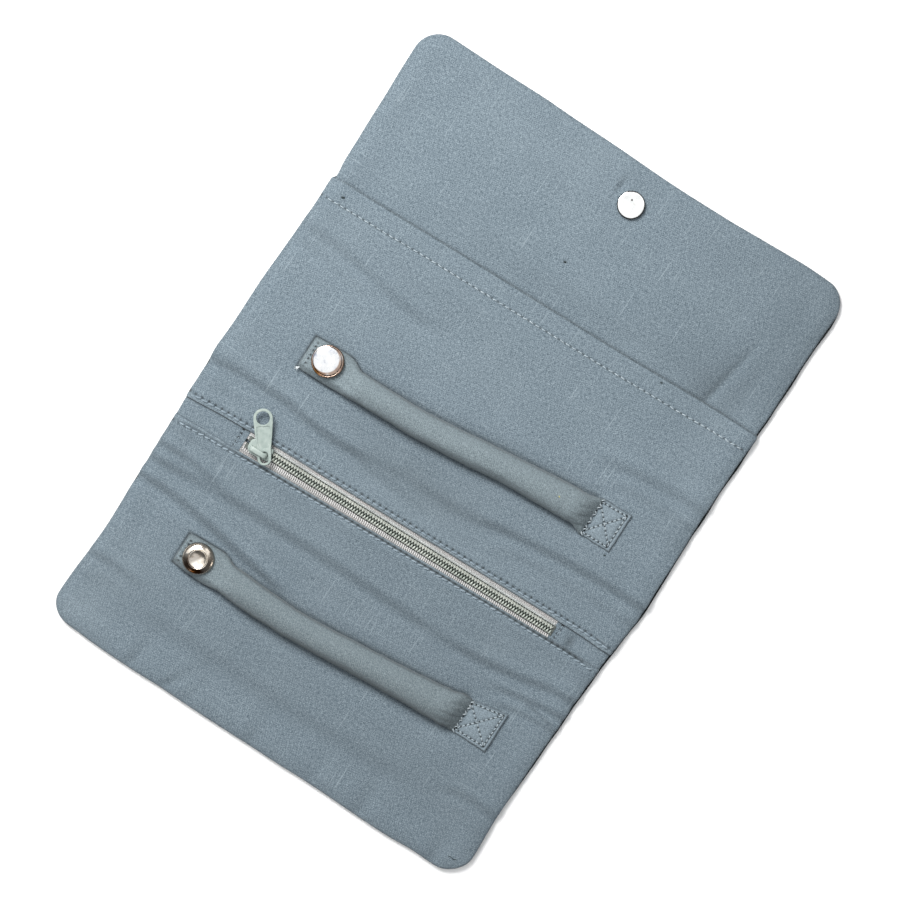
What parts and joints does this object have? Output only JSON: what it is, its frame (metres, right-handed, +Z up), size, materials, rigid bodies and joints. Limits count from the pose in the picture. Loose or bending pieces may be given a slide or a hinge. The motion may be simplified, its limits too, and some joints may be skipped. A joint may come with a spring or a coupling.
{
  "type": "jewelry roll",
  "caption": "Soft padded cotton jewelry roll lying open: folding flap and lower panel, slip pocket, zip pocket, and stuffed ring bars that unsnap at one end.",
  "frame": {"origin": "middle of the underside, on the surface the open roll lies on", "axes": "+Y along the roll towards the flap edge, +Z up out of the lining, +X to the right across the roll"},
  "size_m": [0.178, 0.252, 0.0123],
  "materials": {
    "lining": "matte plain-weave cotton, grey-blue, fine slubs",
    "bar_cloth": "matte plain-weave cotton, slightly greyer",
    "outer_cloth": "matte dark cotton",
    "wadding": "soft fibre wadding",
    "zip_tape": "woven tape, greige",
    "zip_coil": "satin nylon coil, sage grey",
    "zip_metal": "satin paint, pale sage",
    "snap_cap": "polished, pale gold",
    "snap_steel": "polished"
  },
  "bodies": {
    "middle": {"outer_shell_middle": "outer_cloth", "wadding_middle": "wadding", "back_lining_middle": "lining", "slip_pocket_middle": "lining", "lower_lining_middle": "lining", "zip_tape_upper": "zip_tape", "zip_tape_lower": "zip_tape", "zip_coil_upper": "zip_coil", "zip_coil_lower": "zip_coil", "zip_end_tab_left": "lining", "zip_end_tab_right": "lining", "zip_top_stop_upper": "zip_metal", "zip_top_stop_lower": "zip_metal", "zip_bottom_stop": "zip_metal", "upper_bar_base_tab": "bar_cloth", "upper_bar_snap_stud": "snap_steel", "upper_bar_snap_post": "snap_steel", "upper_bar_anchor_patch": "bar_cloth"},
    "flap": {"outer_shell_flap": "outer_cloth", "wadding_flap": "wadding", "flap_lining": "lining", "slip_pocket_flap": "lining", "closure_magnet_disc": "snap_steel", "closure_magnet_washer": "snap_steel"},
    "lower": {"outer_shell_lower": "outer_cloth", "wadding_lower": "wadding", "lower_lining": "lining", "lower_bar_base_tab": "bar_cloth", "lower_bar_snap_stud": "snap_steel", "lower_bar_snap_post": "snap_steel", "lower_bar_anchor_patch": "bar_cloth", "closure_keeper_disc": "snap_steel", "closure_keeper_washer": "snap_steel"},
    "upper_bar": {"upper_bar_sleeve": "bar_cloth", "upper_bar_stuffing": "wadding", "upper_bar_snap_cap": "snap_cap", "upper_bar_snap_socket": "snap_steel"},
    "lower_bar": {"lower_bar_sleeve": "bar_cloth", "lower_bar_stuffing": "wadding", "lower_bar_snap_cap": "snap_cap", "lower_bar_snap_socket": "snap_steel"},
    "zip_slider": {"zip_slider_body": "zip_metal"},
    "zip_pull": {"zip_pull_tab": "zip_metal"}
  },
  "joints": [
    {"name": "flap_fold", "type": "hinge", "parent": "middle", "child": "flap", "pos_m": [0, 0.039, 0.01175], "axis": [1, 0, 0], "range_deg": [0, 179.8]},
    {"name": "lower_fold", "type": "hinge", "parent": "middle", "child": "lower", "pos_m": [0, -0.059, 0.0093], "axis": [-1, 0, 0], "range_deg": [0, 179.8]},
    {"name": "upper_bar_swing", "type": "hinge", "parent": "middle", "child": "upper_bar", "pos_m": [0.0554, 0.0125, 0.005], "axis": [0.068, -0.9977, 0], "range_deg": [-100, 0]},
    {"name": "lower_bar_swing", "type": "hinge", "parent": "lower", "child": "lower_bar", "pos_m": [0.0568, -0.0731, 0.005], "axis": [0.044, -0.999, 0], "range_deg": [-100, 0]},
    {"name": "zip_run", "type": "slide", "parent": "middle", "child": "zip_slider", "axis": [-0.9997, -0.0262, 0], "range_m": [-0.116, 0]},
    {"name": "zip_pull_swing", "type": "hinge", "parent": "zip_slider", "child": "zip_pull", "pos_m": [-0.05405, -0.03386, 0.00615], "axis": [0, 0, 1], "range_deg": [-150, 0]}
  ]
}
